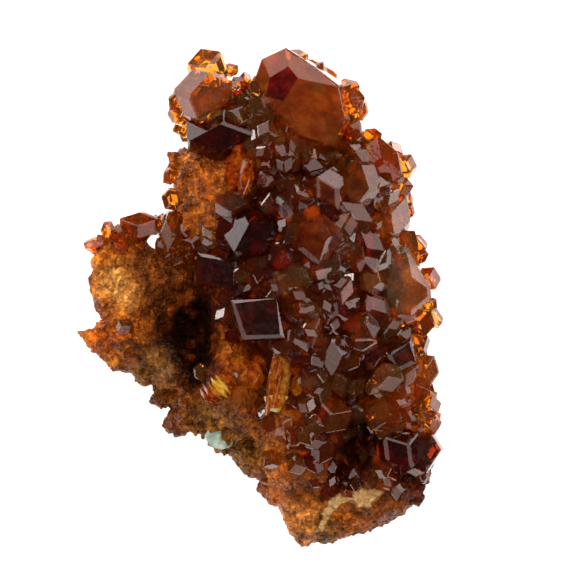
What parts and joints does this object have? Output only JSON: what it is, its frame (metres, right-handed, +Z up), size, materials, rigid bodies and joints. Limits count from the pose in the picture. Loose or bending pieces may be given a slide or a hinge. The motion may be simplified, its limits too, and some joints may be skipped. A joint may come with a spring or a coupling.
{
  "type": "hessonite garnet specimen",
  "caption": "Cluster of honey-brown, see-through garnet crystals grown together on a granular garnet matrix, with a thin side flange and a green mineral grain.",
  "frame": {"origin": "centre of the bounding box in X and Y, at the flat underside the specimen lies on", "axes": "+Z up, out of the crystal face; +Y towards the broad upper end; +X to the right of the crystal face, away from the side flange"},
  "size_m": [0.026, 0.0352, 0.0135],
  "materials": {
    "hessonite": "glassy, honey-brown, sugary where it is massive",
    "green_diopside": "pale green, slightly glassy"
  },
  "bodies": {
    "root": {"garnet": "hessonite", "green_grain": "green_diopside"}
  },
  "joints": []
}
